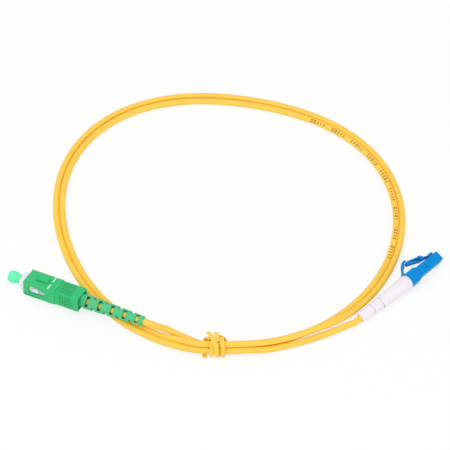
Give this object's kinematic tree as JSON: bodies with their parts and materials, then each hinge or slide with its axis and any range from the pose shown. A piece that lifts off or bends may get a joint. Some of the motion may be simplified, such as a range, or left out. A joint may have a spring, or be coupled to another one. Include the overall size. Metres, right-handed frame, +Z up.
{
  "type": "fiber optic patch cord",
  "caption": "Simplex fibre-optic patch cord: push-pull plug with dust cap and ribbed boot, small latched plug with smooth boot, jacketed cable looped and held by a wire tie.",
  "frame": {"origin": "on the table, under the middle of the box round the two plugs", "axes": "+Z up, +X from the larger plug towards the smaller one, +Y towards the loops"},
  "size_m": [0.1879, 0.1526, 0.0097],
  "materials": {
    "sc_shell": "moulded satin gloss",
    "marks": "printed marks",
    "inner_frame": "moulded gloss",
    "ceramic": "polished",
    "flange": "turned",
    "fibre": "clear",
    "spring": "drawn wire",
    "stop_body": "satin",
    "guide_tube": "extruded",
    "yarn": "aramid",
    "crimp": "crimped",
    "green_boot": "soft matte",
    "cap": "translucent matte",
    "lc_shell": "moulded gloss",
    "white_boot": "soft matte",
    "jacket": "extruded satin",
    "buffer": "extruded",
    "tie": "coated wire"
  },
  "bodies": {
    "cord": {"sc_plug_frame": "inner_frame", "sc_spring": "spring", "sc_stop_body": "stop_body", "sc_guide_tube": "guide_tube", "sc_yarn": "yarn", "sc_crimp": "crimp", "sc_boot": "green_boot", "lc_housing": "lc_shell", "lc_body": "lc_shell", "lc_spring": "spring", "lc_guide_tube": "guide_tube", "lc_yarn": "yarn", "lc_crimp": "crimp", "lc_boot": "white_boot", "cable_sc_tail": "jacket", "cable_coil": "jacket", "cable_lc_tail": "jacket", "cable_buffer": "buffer", "cable_tie": "tie"},
    "grip": {"sc_grip": "sc_shell", "sc_marks": "marks"},
    "cap": {"sc_dust_cap": "cap"},
    "sc_core": {"sc_ferrule": "ceramic", "sc_flange": "flange", "sc_fibre": "fibre"},
    "lc_core": {"lc_ferrule": "ceramic", "lc_flange": "flange", "lc_fibre": "fibre"},
    "trigger": {"lc_trigger": "lc_shell"},
    "latch": {"lc_latch": "lc_shell"}
  },
  "joints": [
    {"name": "grip_slide", "type": "slide", "parent": "cord", "child": "grip", "axis": [0.907, -0.4191, 0.0419], "range_m": [0, 0.0016]},
    {"name": "cap_pull", "type": "slide", "parent": "cord", "child": "cap", "axis": [-0.907, 0.4191, -0.0419], "range_m": [0, 0.012]},
    {"name": "sc_ferrule_float", "type": "slide", "parent": "cord", "child": "sc_core", "axis": [0.907, -0.4191, 0.0419], "range_m": [0, 0.001], "stiffness_N_per_m": 500, "deforming": ["sc_spring"]},
    {"name": "lc_ferrule_float", "type": "slide", "parent": "cord", "child": "lc_core", "axis": [-0.7034, -0.7098, 0.0384], "range_m": [0, 0.0008], "stiffness_N_per_m": 500, "deforming": ["lc_spring"]},
    {"name": "trigger_press", "type": "hinge", "parent": "cord", "child": "trigger", "pos_m": [0.07633, 0.00736, 0.00458], "axis": [-0.2335, 0.1797, -0.9556], "range_deg": [0, 12], "stiffness_Nm_per_rad": 0.01},
    {"name": "latch_press", "type": "hinge", "parent": "cord", "child": "latch", "pos_m": [0.08774, 0.01856, 0.00389], "axis": [0.2335, -0.1797, 0.9556], "range_deg": [0, 6], "stiffness_Nm_per_rad": 0.01}
  ],
  "couplings": [
    {"joint": "latch_press", "follows": "trigger_press", "ratio": 0.5}
  ]
}
